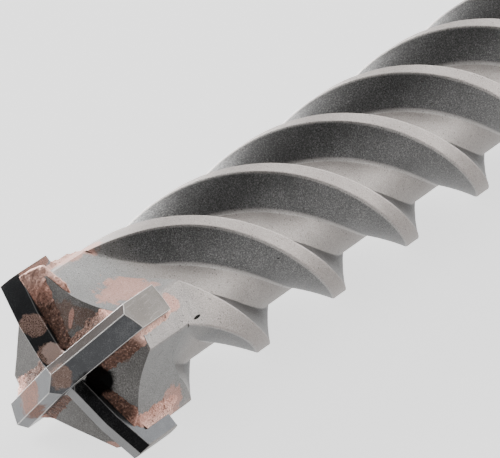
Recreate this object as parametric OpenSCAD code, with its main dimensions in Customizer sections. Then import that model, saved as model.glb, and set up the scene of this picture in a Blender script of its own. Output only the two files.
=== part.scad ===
// Four-cutter hammer drill bit: a forged steel body with an 18 mm slotted hammer
// shank and four right-hand spiral flutes, and a one-piece hard-metal cutting
// cross brazed with copper into a cross-shaped seat in its head.
// The bit lies along X. The origin is the centre of the struck end face, the tip
// points to +X, and the four arms of the cross stand at 45 degrees to Y and Z.

/* [Overall] */
// Length from the struck end face to the tip
total_l = 320; // [260:1:400]
// Length of the fluted part with the head
working_l = 200; // [150:1:240]
// Diameter that the bit cuts
cut_d = 25; // [23.6:0.1:27]

/* [Shank] */
// Diameter of the shank
shank_d = 18; // [16:0.1:19.5]
// Length of the shank
shank_l = 90; // [84:1:100]
// Chamfer at the struck end
shank_chamfer = 2; // [0.5:0.1:3]
// Width of each open driving groove
drive_w = 5; // [3.5:0.1:6]
// Depth of each open driving groove
drive_depth = 3.1; // [2:0.1:3.6]
// Length of each open driving groove, without its run-out
drive_l = 56; // [45:1:60]
// Angle of the two paired driving grooves from the point opposite the single one
drive_spread = 42; // [36:1:50]
// Radius of the cutter that leaves the run-out of the driving grooves
drive_run_r = 12; // [6:1:16]
// Width of the two closed locking grooves
lock_w = 6; // [4:0.1:6.6]
// Depth of the two closed locking grooves
lock_depth = 2.6; // [1.5:0.1:3]
// Start of the locking grooves from the struck end
lock_start = 26; // [20:1:32]
// Length of the locking grooves
lock_l = 28; // [20:1:32]

/* [Neck] */
// Diameter of the turned neck between the shank and the flutes
neck_d = 17.2; // [16:0.1:17.8]
// Length of the cones at the two ends of the neck
neck_cone = 1.5; // [1:0.1:4]

/* [Flutes] */
// Diameter over the spiral ridges
ridge_d = 21.6; // [21:0.1:22.4]
// Diameter of the core between the ridges
core_d = 13.8; // [12.5:0.1:15]
// Length of one full turn of a flute
lead = 64.7; // [58:0.1:72]
// Land on top of each ridge, in degrees round the axis
land_angle = 14.6; // [12:0.1:18]
// Flank that faces the shank, in degrees round the axis
rear_flank = 16.6; // [12:0.1:18]
// Flank that faces the tip, in degrees round the axis
front_flank = 24.6; // [20:0.1:27]
// Length over which each flute rises to the neck
tail_run = 15; // [10:1:20]
// Length of the cone at the start of the ridges
tail_cone = 3.4; // [2:0.1:6]

/* [Steel head] */
// Diameter of the steel head round the cross
head_d = 21.7; // [21.65:0.05:22.8]
// Distance of the hollow side faces from the axis, at their middle
face_dist = 8.6; // [8:0.1:9]
// Radius of the hollow of the side faces
face_hollow = 31; // [28:1:60]
// Angle from each arm forward to the middle of the next side face
face_turn = 35.6; // [33:0.1:38]
// Distance behind the tip at which the steel front would meet the axis
front_set = 2.5; // [2:0.1:3.2]
// Fall of the steel front for each unit of radius
front_fall = 0.33; // [0.2:0.01:0.4]
// Distance behind the tip of the peak where each flute begins
flute_peak = 11.6; // [11.2:0.1:13]
// Fall of the flute's pointed beginning on both sides of its peak
peak_fall = 0.557; // [0.45:0.01:0.7]
// Angle from each arm forward to the peak where the next flute begins
peak_turn = 47.6; // [45:0.1:50]
// Distance behind the tip at which the side faces end, at their middle
face_end = 15.7; // [15:0.1:17]
// Slant of the rear ends of the side faces
face_end_slant = 0.38; // [0.2:0.01:0.5]

/* [Cutting cross] */
// Thickness of the arms of the cross
arm_w = 3.55; // [3:0.05:4]
// Distance from the tip to the underside of the cross
cross_h = 10.35; // [9.6:0.05:10.8]
// Offset of the cutting edges to the leading side of the arms
edge_offset = 0.71; // [0.4:0.01:1]
// Fall of the relief facets across the arm
relief_fall = 0.5; // [0.4:0.01:0.6]
// Fall of the rake facets across the arm
rake_fall = 1; // [0.8:0.01:1.2]
// Fall of the main edges along the arm
main_fall = 0.333; // [0.28:0.001:0.36]
// Setback of the two side edges at the axis
side_set = 1.32; // [1:0.01:1.6]
// Fall of the side edges near the axis
side_inner_fall = 0.15; // [0.1:0.01:0.2]
// Fall of the side edges near the rim
side_outer_fall = 0.286; // [0.25:0.001:0.32]
// Radius at which the fall of the side edges changes
side_knee = 7.5; // [6:0.1:9]
// Fillet in the four inner corners of the cross
corner_r = 0.8; // [0.4:0.1:1.2]

/* [Braze] */
// Thickness of the copper layer between the cross and its seat
braze_t = 0.15; // [0.1:0.01:0.3]
// Distance behind the tip at which the copper's top line would meet the axis
braze_set = 2.9; // [2.8:0.05:3.2]
// Fall of the copper's top line along each arm
braze_fall = 0.19; // [0.16:0.01:0.24]
// Width of the copper bank beside an arm for each unit of its height
braze_spread = 1.8; // [1:0.1:2.4]
// Leg of the copper fillets where the arms stand out of the head
braze_leg = 1; // [0.5:0.05:1.2]
// Length of the copper wedge behind the end of each arm
braze_tail = 1.2; // [0.6:0.1:2.4]
// Thickness of the copper on the leading side of each arm
braze_lead_t = 0.5; // [0.3:0.05:1]

/* [Hidden] */
$fn = 96;
STEEL = [0.64, 0.62, 0.60];
HARD_METAL = [0.27, 0.28, 0.29];
COPPER = [0.80, 0.58, 0.50];
arms = 4;
quarter = 360 / arms;
// Angle of the first arm, seen from the tip
first_arm = 45;
// Angle of a ridge's rear edge from its arm, carried on to the tip
ridge_turn = 1.2;
shank_r = shank_d / 2;
neck_r = neck_d / 2;
ridge_r = ridge_d / 2;
core_r = core_d / 2;
head_r = head_d / 2;
cut_r = cut_d / 2;
flute_start = total_l - working_l;
// Flank and floor angles, counted from the rear edge of a ridge
front_foot = quarter - land_angle - front_flank;
front_edge = quarter - land_angle;
// A flute's flat beginning touches the core at this angle from the arm
flat_turn = 16.7;
// Slack that carries cutting shapes past the faces they cut
eps = 0.5;
big = 60;
// Turn of the ridges from one slice of the fluted solid to the next
step_angle = 9;
// Ends of the fluted solid inside the head and inside the neck
nose_end = flute_peak - 1;
tail_lap = 3;
// The flat beginning of a flute is followed this far round, out past the ridge
nose_reach = 60;
// Sides of the large round faces and of the rim that cuts the hole
round_fn = 256;
rim_fn = 128;
// Step that keeps the head's rear edge from lying in the ridges
head_step = 0.02;
cross_foot = total_l - cross_h;
// Distance that the copper banks keep from the outer edges of the head
edge_gap = 0.1;

// Everything is made standing on the struck end and is then laid along X.
module lying() {
    rotate([0, 90, 0]) children();
}

module each_arm() {
    for (i = [0 : arms - 1]) rotate(first_arm + i * quarter) children();
}

// Turned blank of the shank and the neck
module shank_blank() {
    rotate_extrude()
        polygon([[0, 0], [shank_r - shank_chamfer, 0], [shank_r, shank_chamfer],
                 [shank_r, shank_l], [neck_r, shank_l + neck_cone],
                 [neck_r, flute_start + eps], [0, flute_start + eps]]);
}

// Open driving groove with the run-out that a disc cutter leaves
module drive_groove() {
    floor_r = shank_r - drive_depth;
    translate([floor_r, -drive_w / 2, -eps]) cube([shank_r, drive_w, drive_l + eps]);
    translate([floor_r + drive_run_r, 0, drive_l])
        rotate([90, 0, 0]) cylinder(r = drive_run_r, h = drive_w, center = true);
}

// Closed locking groove with round ends and a round floor
module locking_groove() {
    floor_r = shank_r - lock_depth;
    track_r = lock_w / 2;
    translate([floor_r + track_r, 0, lock_start + track_r]) {
        cylinder(r = track_r, h = lock_l - lock_w);
        sphere(r = track_r);
        translate([0, 0, lock_l - lock_w]) sphere(r = track_r);
        rotate([0, 90, 0]) cylinder(r = track_r, h = shank_r);
        translate([0, -track_r, 0]) cube([shank_r, lock_w, lock_l - lock_w]);
        translate([0, 0, lock_l - lock_w]) rotate([0, 90, 0]) cylinder(r = track_r, h = shank_r);
    }
}

module shank_grooves() {
    drive_groove();
    for (side = [-1, 1]) rotate(180 + side * drive_spread) drive_groove();
    for (side = [-1, 1]) rotate(side * 90) locking_groove();
}

// Radius of the plain fluted section, at an angle past the rear edge of a ridge
function section_r(a) =
    a < rear_flank ? ridge_r - (ridge_r - core_r) * a / rear_flank :
    a < front_foot ? core_r :
    a < front_edge ? core_r + (ridge_r - core_r) * (a - front_foot) / front_flank :
    ridge_r;

// Angle from its arm of a point of the section, at a distance behind the tip
function arm_angle(a, back) = quarter + ridge_turn + a - 360 * back / lead;

// Rise of a flute's floor at its flat beginning in the head
function nose_rise(turn) =
    turn < flat_turn ? 0 : core_r / cos(min(turn - flat_turn, nose_reach)) - core_r;

// Rise of a flute's floor where it runs out into the neck
function tail_rise(z) =
    let (left = flute_start + tail_run - z)
    left < 0 ? 0 : (neck_r - core_r) * pow(left / tail_run, 2);

// Radius of the cone that starts the ridges
function tail_top(z) = neck_r + (ridge_r - neck_r) * (z - flute_start) / tail_cone;

function flute_r(a, z) =
    min(ridge_r, tail_top(z),
        section_r(a) + nose_rise(arm_angle(a, total_l - z)) + tail_rise(z));

// Front edge of the land, found by halving the flank where the floor rises
function land_edge(z, low, high, halvings = 14) =
    let (mid = (low + high) / 2)
    halvings == 0 ? mid :
    section_r(mid) + nose_rise(arm_angle(mid, total_l - z)) < ridge_r
        ? land_edge(z, mid, high, halvings - 1) : land_edge(z, low, mid, halvings - 1);

// Angles of the points of one ridge and flute in one slice
function slice_angles(z) =
    let (edge = max(land_edge(z, rear_flank, front_edge), rear_flank + 1),
         foot = min(front_foot, edge - min(1, (edge - rear_flank) / 2)))
    [for (t = [0 : 2]) t / 3 * rear_flank,
     for (t = [0 : 2]) rear_flank + t / 3 * (foot - rear_flank),
     for (t = [0 : 2]) foot + t / 3 * (edge - foot),
     for (t = [0 : 1]) edge + t / 2 * (quarter - edge)];

function slice_points(z) =
    [for (i = [0 : arms - 1], a = slice_angles(z))
        let (turn = first_arm + (i + 1) * quarter + ridge_turn + a - 360 * (total_l - z) / lead,
             r = flute_r(a, z))
        [r * cos(turn), r * sin(turn), z]];

// The four spiral flutes, as one solid that laps into the neck and the head
module fluted_core() {
    low = flute_start - tail_lap;
    high = total_l - nose_end;
    slices = ceil((high - low) / (lead * step_angle / 360));
    rings = [for (k = [0 : slices]) slice_points(low + (high - low) * k / slices)];
    n = len(rings[0]);
    points = [for (ring = rings) each ring];
    sides = [for (k = [0 : slices - 1], j = [0 : n - 1])
        let (next = (j + 1) % n, lower = k * n, upper = (k + 1) * n)
        each [[lower + j, upper + j, upper + next], [lower + j, upper + next, lower + next]]];
    bottom = [for (j = [0 : n - 1]) j];
    top = [for (j = [n - 1 : -1 : 0]) slices * n + j];
    polyhedron(points, concat([bottom], sides, [top]), convexity = 10);
}

// Turned blank of the head, a little larger than the ridges at its front
module head_blank() {
    back = total_l - flute_peak - peak_fall * ridge_r;
    tip_z = total_l - front_set;
    rotate_extrude()
        polygon([[0, back], [ridge_r + head_step, back], [head_r, cross_foot],
                 [head_r, tip_z - front_fall * head_r], [0, tip_z]]);
}

// Pointed beginning of one flute behind the head, as the space that it leaves free
module flute_beginning() {
    side = big / 2;
    rotate(peak_turn)
        translate([0, 0, total_l - flute_peak])
            rotate([90, 0, 90])
                linear_extrude(big)
                    polygon([[0, 0], [side, -peak_fall * side], [side, -side],
                             [-side, -side], [-side, -peak_fall * side]]);
}

// Hollow side face of the head, ended by a slanted cut
module side_face(more = 0) {
    rotate(face_turn)
        difference() {
            translate([face_dist + face_hollow, 0, total_l - big / 2])
                cylinder(r = face_hollow + more, h = big, $fn = round_fn);
            translate([0, 0, total_l - face_end])
                rotate([atan(face_end_slant), 0, 0])
                    translate([-big, -big, -big]) cube([2 * big, 2 * big, big]);
        }
}

// Fillets in the inner corners between the arms
module corner_fillets(width, fillet) {
    for (i = [0 : arms - 1]) rotate(i * quarter)
        translate([width / 2, width / 2])
            difference() {
                square(fillet);
                translate([fillet, fillet]) circle(fillet);
            }
}

module cross_column(foot, width, fillet) {
    translate([0, 0, foot]) rotate(first_arm) linear_extrude(big) {
        for (turn = [0, quarter]) rotate(turn) square([2 * big, width], center = true);
        corner_fillets(width, fillet);
    }
}

// Seat for the cross and the copper layer under and beside it
module seat() {
    cross_column(cross_foot - braze_t, arm_w + 2 * braze_t, corner_r - braze_t);
}

// Steel of the head in front of the flutes, without its seat
module head_front() {
    difference() {
        intersection() {
            head_blank();
            translate([0, 0, cross_foot - braze_tail - 1]) cylinder(r = big, h = big);
        }
        each_arm() side_face();
    }
}

module steel_body() {
    color(STEEL) lying()
        difference() {
            union() {
                shank_blank();
                fluted_core();
                difference() {
                    head_blank();
                    each_arm() flute_beginning();
                }
            }
            shank_grooves();
            each_arm() side_face();
            seat();
        }
}

// Takes off all above the plane that lies set behind the tip on the axis and
// falls along the arm and across it
module grind(set, along, across) {
    translate([0, 0, total_l - set])
        rotate(a = acos(1 / norm([along, across, 1])), v = [-across, along, 0])
            translate([-big, -big, 0]) cube([2 * big, 2 * big, big]);
}

// Relief and rake facets of one edge
module edge_facets(set, fall) {
    grind(set + relief_fall * edge_offset, fall, -relief_fall);
    grind(set - rake_fall * edge_offset, fall, rake_fall);
}

module arm_pair(turn) {
    translate([0, 0, cross_foot])
        rotate(turn) linear_extrude(cross_h) square([2 * cut_r, arm_w], center = true);
}

// Facets of the pair that runs straight through the tip
module main_facets() {
    for (half = [0, 180]) rotate(first_arm + quarter + half)
        edge_facets(-relief_fall * edge_offset, main_fall);
}

// Facets of the pair that stands back beside the tip
module side_facets() {
    knee_set = side_set + (side_inner_fall - side_outer_fall) * side_knee;
    for (half = [0, 180]) rotate(first_arm + half) {
        edge_facets(side_set, side_inner_fall);
        edge_facets(knee_set, side_outer_fall);
    }
}

module cutting_cross() {
    color(HARD_METAL) lying()
        intersection() {
            translate([0, 0, cross_foot]) cylinder(d = cut_d, h = cross_h, $fn = rim_fn);
            union() {
                difference() {
                    arm_pair(first_arm + quarter);
                    main_facets();
                }
                difference() {
                    arm_pair(first_arm);
                    side_facets();
                }
                difference() {
                    translate([0, 0, cross_foot])
                        rotate(first_arm) linear_extrude(cross_h) corner_fillets(arm_w, corner_r);
                    main_facets();
                    side_facets();
                }
            }
        }
}

// Distance of a side face from the axis along an arm, beside that arm
function side_face_at(side) =
    let (reach = face_dist + face_hollow)
    reach * cos(face_turn) - sqrt(pow(face_hollow, 2) - pow(side - reach * sin(face_turn), 2));

// Ridge along an arm under which all copper beside it stays
module copper_roof() {
    foot_w = arm_w / 2 + braze_spread * big;
    translate([0, 0, total_l - braze_set])
        rotate([0, atan(braze_fall), 0]) rotate([90, 0, 90]) linear_extrude(big)
            polygon([[-foot_w, -big], [foot_w, -big], [arm_w / 2, 0], [-arm_w / 2, 0]]);
}

// Banks of copper on the steel front, along both sides of an arm
module copper_bank() {
    difference() {
        translate([0, 0, total_l - front_set - front_fall * head_r])
            cylinder(r = head_r - edge_gap, h = head_r);
        for (turn = [0, -quarter]) rotate(turn) side_face(edge_gap);
    }
}

// Fillets of copper beside and behind the end of an arm that stands out of the head
module copper_collar() {
    half = arm_w / 2;
    foot = half + braze_leg;
    low = cross_foot - braze_tail;
    bank_top = total_l - braze_set - braze_fall * head_r;
    lip = cut_r - braze_leg / 2;
    out = head_r + braze_leg - edge_gap;
    thinning = braze_lead_t / (bank_top - low);
    difference() {
        intersection() {
            translate([0, 0, low]) linear_extrude(total_l - low)
                polygon([[core_r, -foot], [sqrt(pow(head_r, 2) - pow(foot, 2)), -foot],
                         [out, -half], [out, 0], [side_face_at(half) + braze_lead_t, half],
                         [side_face_at(foot), foot], [core_r, foot]]);
            rotate_extrude()
                polygon([[0, low], [ridge_r, low], [lip, cross_foot],
                         [lip, bank_top - 2 * braze_leg], [head_r - edge_gap, bank_top],
                         [0, total_l]]);
        }
        translate([side_face_at(foot), foot, low])
            rotate(quarter / 2) rotate([0, atan(thinning), 0])
                translate([0, -big, -big]) cube(2 * big);
    }
}

// Copper layer in the seat, and the copper that was pressed out along its edges
module copper_braze() {
    color(COPPER) lying()
        difference() {
            union() {
                intersection() {
                    head_front();
                    seat();
                }
                difference() {
                    each_arm()
                        intersection() {
                            copper_roof();
                            union() {
                                copper_bank();
                                copper_collar();
                            }
                        }
                    head_front();
                }
            }
            cross_column(cross_foot, arm_w, corner_r);
        }
}

steel_body();
cutting_cross();
copper_braze();
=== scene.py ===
"""Hammer drill bit: forged steel body with spiral flutes, hard-metal cross and copper braze."""

from __future__ import annotations

import logging
import math
from collections.abc import Iterator
from contextlib import contextmanager
from dataclasses import dataclass
from enum import Enum

import bmesh
import bpy
import numpy as np
from mathutils import Matrix, Vector

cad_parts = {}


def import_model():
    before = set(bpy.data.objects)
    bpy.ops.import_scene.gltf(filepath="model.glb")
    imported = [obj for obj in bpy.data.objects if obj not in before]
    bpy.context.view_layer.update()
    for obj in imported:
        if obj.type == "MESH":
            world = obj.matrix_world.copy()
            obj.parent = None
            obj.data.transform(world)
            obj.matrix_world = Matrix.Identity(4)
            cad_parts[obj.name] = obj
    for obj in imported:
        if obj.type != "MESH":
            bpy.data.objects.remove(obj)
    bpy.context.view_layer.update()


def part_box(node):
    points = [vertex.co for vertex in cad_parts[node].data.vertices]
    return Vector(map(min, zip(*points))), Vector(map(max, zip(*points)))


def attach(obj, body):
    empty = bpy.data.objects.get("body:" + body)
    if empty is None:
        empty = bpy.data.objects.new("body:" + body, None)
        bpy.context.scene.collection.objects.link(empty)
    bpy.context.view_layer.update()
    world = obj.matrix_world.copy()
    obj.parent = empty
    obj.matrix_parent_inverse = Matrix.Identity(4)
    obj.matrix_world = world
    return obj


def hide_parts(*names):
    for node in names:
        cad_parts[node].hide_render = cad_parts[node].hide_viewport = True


LOG = logging.getLogger("drill_bit")
MM = 0.001
ARMS = 4
QUARTER = 360 / ARMS
FIRST_ARM = 45.0
EDGE_MARK = "painted_edge_highlight"
# Name of the mark on the carbide's rounded edges, which get a painted highlight.
WELD_DIST = 0.002
BLUNT_R = 0.5
HASH_X, HASH_Y, HASH_Z, HASH_SEED = 374761393, 668265263, 2147483647, 144665
HASH_MIX, HASH_MASK = 1274126177, 0xFFFF
STAIN_CELL, STAIN_END = 1.1, 1.05
SIDE_BAND = (0.985, 0.997)

Triple = tuple[float, float, float]
Colour = tuple[float, float, float, float]
Plane = tuple[Vector, Vector]


class Cut(Enum):
    """How one solid changes another."""

    JOIN = "UNION"
    TAKE_OFF = "DIFFERENCE"
    KEEP_INSIDE = "INTERSECT"


@dataclass(frozen=True)
class Sizes:
    """Driving sizes of the bit in millimetres and degrees, as in the part's source."""

    total: float = 320.0
    working: float = 200.0
    cut_r: float = 12.5
    shank_r: float = 9.0
    shank_l: float = 90.0
    shank_chamfer: float = 2.0
    drive_w: float = 5.0
    drive_depth: float = 3.1
    drive_l: float = 56.0
    drive_spread: float = 42.0
    drive_run_r: float = 12.0
    lock_w: float = 6.0
    lock_depth: float = 2.6
    lock_start: float = 26.0
    lock_l: float = 28.0
    neck_r: float = 8.6
    neck_cone: float = 1.5
    ridge_r: float = 10.8
    core_r: float = 6.9
    lead: float = 64.7
    land: float = 14.6
    rear_flank: float = 16.6
    front_flank: float = 24.6
    ridge_turn: float = 1.2
    flat_turn: float = 16.7
    tail_run: float = 15.0
    tail_cone: float = 3.4
    head_r: float = 10.85
    face_dist: float = 8.6
    face_hollow: float = 31.0
    face_turn: float = 35.6
    face_end: float = 15.7
    face_end_slant: float = 0.38
    front_set: float = 2.5
    front_fall: float = 0.33
    flute_peak: float = 11.6
    peak_fall: float = 0.557
    peak_turn: float = 47.6
    arm_w: float = 3.55
    cross_h: float = 10.35
    edge_offset: float = 0.71
    relief_fall: float = 0.5
    rake_fall: float = 1.0
    main_fall: float = 0.333
    side_set: float = 1.32
    side_inner_fall: float = 0.15
    side_outer_fall: float = 0.286
    side_knee: float = 7.5
    corner_r: float = 0.8
    braze_t: float = 0.15

    @property
    def flute_start(self) -> float:
        """Distance of the ridges' start from the struck end."""
        return self.total - self.working

    @property
    def cross_foot(self) -> float:
        """Distance of the cross's underside from the struck end."""
        return self.total - self.cross_h

    @property
    def arm_angles(self) -> list[float]:
        """Angles of the four arms about the axis, from Y towards Z."""
        return [FIRST_ARM + QUARTER * i for i in range(ARMS)]

    @property
    def arm_half(self) -> float:
        """Half of the arms' thickness."""
        return self.arm_w / 2

    @property
    def ridge_h(self) -> float:
        """Height of the ridges above the flutes' floor."""
        return self.ridge_r - self.core_r

    @property
    def front_foot(self) -> float:
        """Degrees from the rear edge of a land to the foot of the next front flank."""
        return QUARTER - self.land - self.front_flank

    @property
    def face_centre(self) -> float:
        """Distance from the axis of the centre round which a side face is hollow."""
        return self.face_dist + self.face_hollow

    def twist(self, x: float) -> float:
        """Degrees by which the ridges turn between a place and the tip."""
        return 360 * (self.total - x) / self.lead

    def front_cone(self, radius: float) -> list[tuple[float, float]]:
        """Profile of the head's conical front, from a radius to its blunt middle."""
        front = self.total - self.front_set
        return [(front - self.front_fall * r, r) for r in (radius, BLUNT_R)]


BIT = Sizes()


def smooth_min(first: np.ndarray, second: np.ndarray, blend: float) -> np.ndarray:
    """Lower of two values, with a rounded change from one to the other.

    Args:
        first: One value.
        second: The other value.
        blend: Difference of the values at which the rounding starts.

    Returns:
        The rounded minimum.
    """
    share = np.clip(0.5 + 0.5 * (second - first) / blend, 0, 1)
    return second + (first - second) * share - blend * share * (1 - share)


def smooth_max(first: np.ndarray, second: np.ndarray, blend: float) -> np.ndarray:
    """Higher of two values, with a rounded change from one to the other."""
    return -smooth_min(-first, -second, blend)


def lattice_noise(points: np.ndarray, cell: float, seed: int) -> np.ndarray:
    """Smooth random values over space.

    Args:
        points: Rows of x, y, z in millimetres.
        cell: Size of one hump in millimetres.
        seed: Number that picks the pattern.

    Returns:
        One value from -1 to 1 for each point.
    """
    spot = points / cell
    base = np.floor(spot).astype(np.int64)
    part = spot - base
    weight = part * part * (3 - 2 * part)
    total = np.zeros(len(points))
    for corner in np.ndindex(2, 2, 2):
        x, y, z = (base + np.array(corner)).T
        value = x * HASH_X + y * HASH_Y + z * HASH_Z + seed * HASH_SEED
        value = (value ^ (value >> 13)) * HASH_MIX
        value = (value ^ (value >> 16)) & HASH_MASK
        share = np.prod(np.where(np.array(corner) == 1, weight, 1 - weight), axis=1)
        total += (2 * value / HASH_MASK - 1) * share
    return total


def two_noises(
    points: np.ndarray, cells: tuple[float, float], share: float, seed: int
) -> np.ndarray:
    """Noise of two hump sizes.

    Args:
        points: Rows of x, y, z in millimetres.
        cells: The two hump sizes in millimetres.
        share: Height of the second noise, with the first's as 1.
        seed: Number that picks the pattern.

    Returns:
        One value for each point.
    """
    first, second = cells
    return lattice_noise(points, first, seed) + share * lattice_noise(points, second, seed + 1)


def rotation_about_bit(degrees: float) -> np.ndarray:
    """Matrix that turns points about X by an angle, from Y towards Z."""
    return np.array(Matrix.Rotation(math.radians(degrees), 3, "X"))


class Solid:
    """A closed mesh in millimetres that other solids can cut."""

    def __init__(self, name: str, points: np.ndarray, faces: list) -> None:
        """Makes the mesh object.

        Args:
            name: Name of the object.
            points: Rows of x, y, z in millimetres.
            faces: Lists of point numbers, turning left as seen from outside.
        """
        mesh = bpy.data.meshes.new(name)
        mesh.from_pydata(np.asarray(points, float).tolist(), [], faces)
        mesh.validate()
        self.object = bpy.data.objects.new(name, mesh)
        bpy.context.collection.objects.link(self.object)

    def cut(self, how: Cut, *others: Solid) -> Solid:
        """Changes this solid by others, which are then deleted.

        Args:
            how: What the others do to it.
            others: The solids that change it.

        Returns:
            This solid.
        """
        for other in others:
            step = self.object.modifiers.new("cut", "BOOLEAN")
            step.operation = how.value
            step.solver = "MANIFOLD"
            step.object = other.object
            self.bake()
            other.delete()
        return self

    @contextmanager
    def edited(self) -> Iterator[bmesh.types.BMesh]:
        """Gives the mesh for editing and writes it back afterwards.

        Yields:
            The mesh.
        """
        mesh = bmesh.new()
        mesh.from_mesh(self.object.data)
        yield mesh
        mesh.to_mesh(self.object.data)
        mesh.free()

    def add(self, other: Solid) -> None:
        """Takes over another solid's mesh as it is.

        Args:
            other: The other solid, which is then deleted.
        """
        with self.edited() as mesh:
            mesh.from_mesh(other.object.data)
        other.delete()

    def remesh(self, voxel: float) -> None:
        """Joins overlapping solids into one skin of small, even faces.

        Args:
            voxel: Size of the faces in millimetres.
        """
        change = self.object.modifiers.new("skin", "REMESH")
        change.mode = "VOXEL"
        change.voxel_size = voxel
        even = self.object.modifiers.new("even", "SMOOTH")
        even.factor = 0.5
        even.iterations = 3
        self.bake()

    def roughen(self, height: float, cell: float, seed: int) -> None:
        """Moves the points in and out by small random amounts.

        Args:
            height: Largest move in millimetres.
            cell: Size of one hump in millimetres.
            seed: Number that picks the pattern.
        """
        points = self.points()
        normals = np.empty(points.size)
        self.object.data.vertex_normals.foreach_get("vector", normals)
        lift = height * lattice_noise(points, cell, seed)
        self.set_points(points + normals.reshape(-1, 3) * lift[:, None])

    def bake(self) -> None:
        """Turns the object's modifiers into plain mesh."""
        graph = bpy.context.evaluated_depsgraph_get()
        mesh = bpy.data.meshes.new_from_object(self.object.evaluated_get(graph))
        old = self.object.data
        self.object.modifiers.clear()
        self.object.data = mesh
        bpy.data.meshes.remove(old)

    def delete(self) -> None:
        """Removes the object and its mesh."""
        mesh = self.object.data
        bpy.data.objects.remove(self.object)
        bpy.data.meshes.remove(mesh)

    def points(self) -> np.ndarray:
        """Rows of x, y, z of all vertices."""
        flat = np.empty(len(self.object.data.vertices) * 3)
        self.object.data.vertices.foreach_get("co", flat)
        return flat.reshape(-1, 3)

    def set_points(self, points: np.ndarray) -> None:
        """Moves all vertices to new places."""
        self.object.data.vertices.foreach_set("co", np.asarray(points, np.float32).ravel())
        self.object.data.update()

    def turn(self, degrees: float) -> Solid:
        """Turns the solid about the bit's axis."""
        self.set_points(self.points() @ rotation_about_bit(degrees).T)
        return self

    def weld(self) -> None:
        """Joins points that almost touch and drops the faces that this closes."""
        with self.edited() as mesh:
            bmesh.ops.dissolve_degenerate(mesh, dist=WELD_DIST, edges=mesh.edges)
            bmesh.ops.remove_doubles(mesh, verts=mesh.verts, dist=WELD_DIST)
            bmesh.ops.triangulate(mesh, faces=[face for face in mesh.faces if len(face.verts) > 4])

    def drop_crumbs(self, fewest: int) -> None:
        """Deletes loose lumps that have fewer points than a number.

        Args:
            fewest: Number of points that a lump needs to stay.
        """
        with self.edited() as mesh:
            crumbs, seen = [], set()
            for start in mesh.verts:
                if start in seen:
                    continue
                lump, waiting = {start}, [start]
                while waiting:
                    here = waiting.pop()
                    around = [edge.other_vert(here) for edge in here.link_edges]
                    fresh = [vert for vert in around if vert not in lump]
                    lump.update(fresh)
                    waiting += fresh
                seen |= lump
                if len(lump) < fewest:
                    crumbs += lump
            bmesh.ops.delete(mesh, geom=crumbs, context="VERTS")

    def round_edges(self, width: float, corner_at: float, corner: float) -> None:
        """Rounds all sharp edges, and those along X at one radius by more.

        Args:
            width: Width of the rounding.
            corner_at: Distance from the axis of the inner corners' edges.
            corner: Width of the rounding in the inner corners.
        """
        flat, sharp = math.radians(0.3), math.radians(20)
        near, straight = 0.05, 0.9
        with self.edited() as mesh:
            bmesh.ops.remove_doubles(mesh, verts=mesh.verts, dist=WELD_DIST)
            bmesh.ops.dissolve_limit(mesh, angle_limit=flat, verts=mesh.verts, edges=mesh.edges)
            weight = mesh.edges.layers.float.new("bevel_weight_edge")
            for edge in mesh.edges:
                one, other = (vert.co for vert in edge.verts)
                away = max(abs(math.hypot(end.y, end.z) - corner_at) for end in (one, other))
                if away < near and abs(one.x - other.x) > straight * (one - other).length:
                    edge[weight] = 1.0
                elif edge.is_manifold and edge.calc_face_angle(0.0) > sharp:
                    edge[weight] = width / corner
        edges = self.object.modifiers.new("edges", "BEVEL")
        edges.width = corner
        edges.segments = 4
        edges.limit_method = "WEIGHT"
        edges.use_clamp_overlap = False
        self.bake()

    def mark_narrow(self, mark: str, width: float) -> None:
        """Marks the narrow faces, which are the rounded edges.

        Args:
            mark: Name of the mark.
            width: Width in millimetres below which a face is narrow.
        """
        mesh = self.object.data
        marks = mesh.attributes.new(mark, "FLOAT", "FACE")
        for face, value in zip(mesh.polygons, marks.data):
            sides = [(mesh.vertices[a].co - mesh.vertices[b].co).length for a, b in face.edge_keys]
            value.value = float(face.area < max(sides) * width)

    def finish(self, name: str, crease: float, flat: bool = False) -> bpy.types.Object:
        """Scales the solid to metres and shades it smooth between its edges.

        Args:
            name: Final name of the piece.
            crease: Angle in degrees above which an edge stays sharp.
            flat: Whether large faces are shaded flat up to their rounded edges.

        Returns:
            The finished object.
        """
        self.set_points(self.points() * MM)
        self.object.data.shade_smooth()
        self.object.data.set_sharp_from_angle(angle=math.radians(crease))
        if flat:
            self.object.modifiers.new("flat", "WEIGHTED_NORMAL").keep_sharp = True
            self.bake()
        self.object.name = name
        self.object.data.name = name
        return self.object


def tube(name: str, rings: np.ndarray) -> Solid:
    """Closed solid through rings of points, with flat ends.

    Args:
        name: Name of the solid.
        rings: Array of rings, points and coordinates, turning from Y to Z, along +X.

    Returns:
        The solid.
    """
    count, size = rings.shape[:2]
    ring = np.arange(size)
    after = (ring + 1) % size
    faces = []
    for k in range(count - 1):
        low, high = k * size, (k + 1) * size
        faces += np.stack([low + ring, low + after, high + after, high + ring], axis=1).tolist()
    faces.append(ring[::-1].tolist())
    faces.append(((count - 1) * size + ring).tolist())
    return Solid(name, rings.reshape(-1, 3), faces)


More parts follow.
